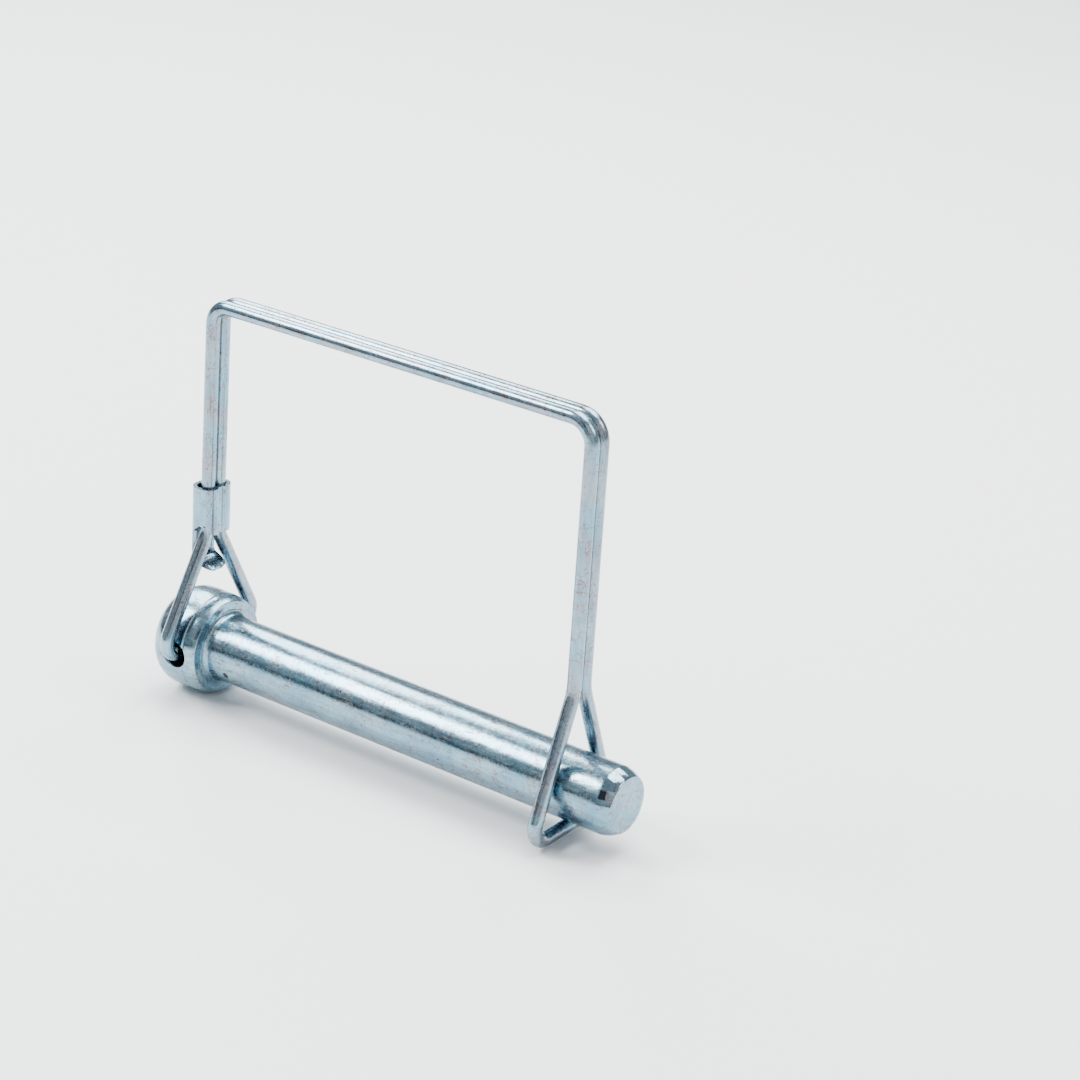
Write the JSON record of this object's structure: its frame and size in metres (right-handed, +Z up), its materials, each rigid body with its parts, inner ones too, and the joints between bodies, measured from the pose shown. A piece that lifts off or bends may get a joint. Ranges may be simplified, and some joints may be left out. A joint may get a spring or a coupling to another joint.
{
  "type": "hitch pin lock",
  "caption": "Headed steel lock pin with a square double-wire spring bail that swings on the head and snaps round the tip, and a crimped sleeve on the bail",
  "frame": {"origin": "on the pin's axis, where the plain shank leaves the collar beside the head", "axes": "+X along the pin from the head to the tip, +Z up the closed bail, +Y across it, along the bail's pivot"},
  "size_m": [0.0781, 0.0192, 0.0588],
  "materials": {
    "pin_steel": "bright zinc plate with a blue tint on smooth turned steel",
    "spring_wire": "bright zinc plate with a blue tint on drawn spring wire",
    "sleeve_sheet": "bright zinc plate with a blue tint on pressed sheet"
  },
  "bodies": {
    "pin": {"pin": "pin_steel"},
    "bail": {"bail_frame": "spring_wire", "sleeve": "sleeve_sheet"},
    "latch": {"latch_loop": "spring_wire"}
  },
  "joints": [
    {"name": "bail_swing", "type": "hinge", "parent": "pin", "child": "bail", "pos_m": [-0.0043, 0, 0], "axis": [0, -1, 0], "range_deg": [0, 180]},
    {"name": "latch_flex", "type": "hinge", "parent": "bail", "child": "latch", "pos_m": [0.0632, 0, 0.0505], "axis": [0, -1, 0], "range_deg": [0, 13], "stiffness_Nm_per_rad": 6}
  ]
}
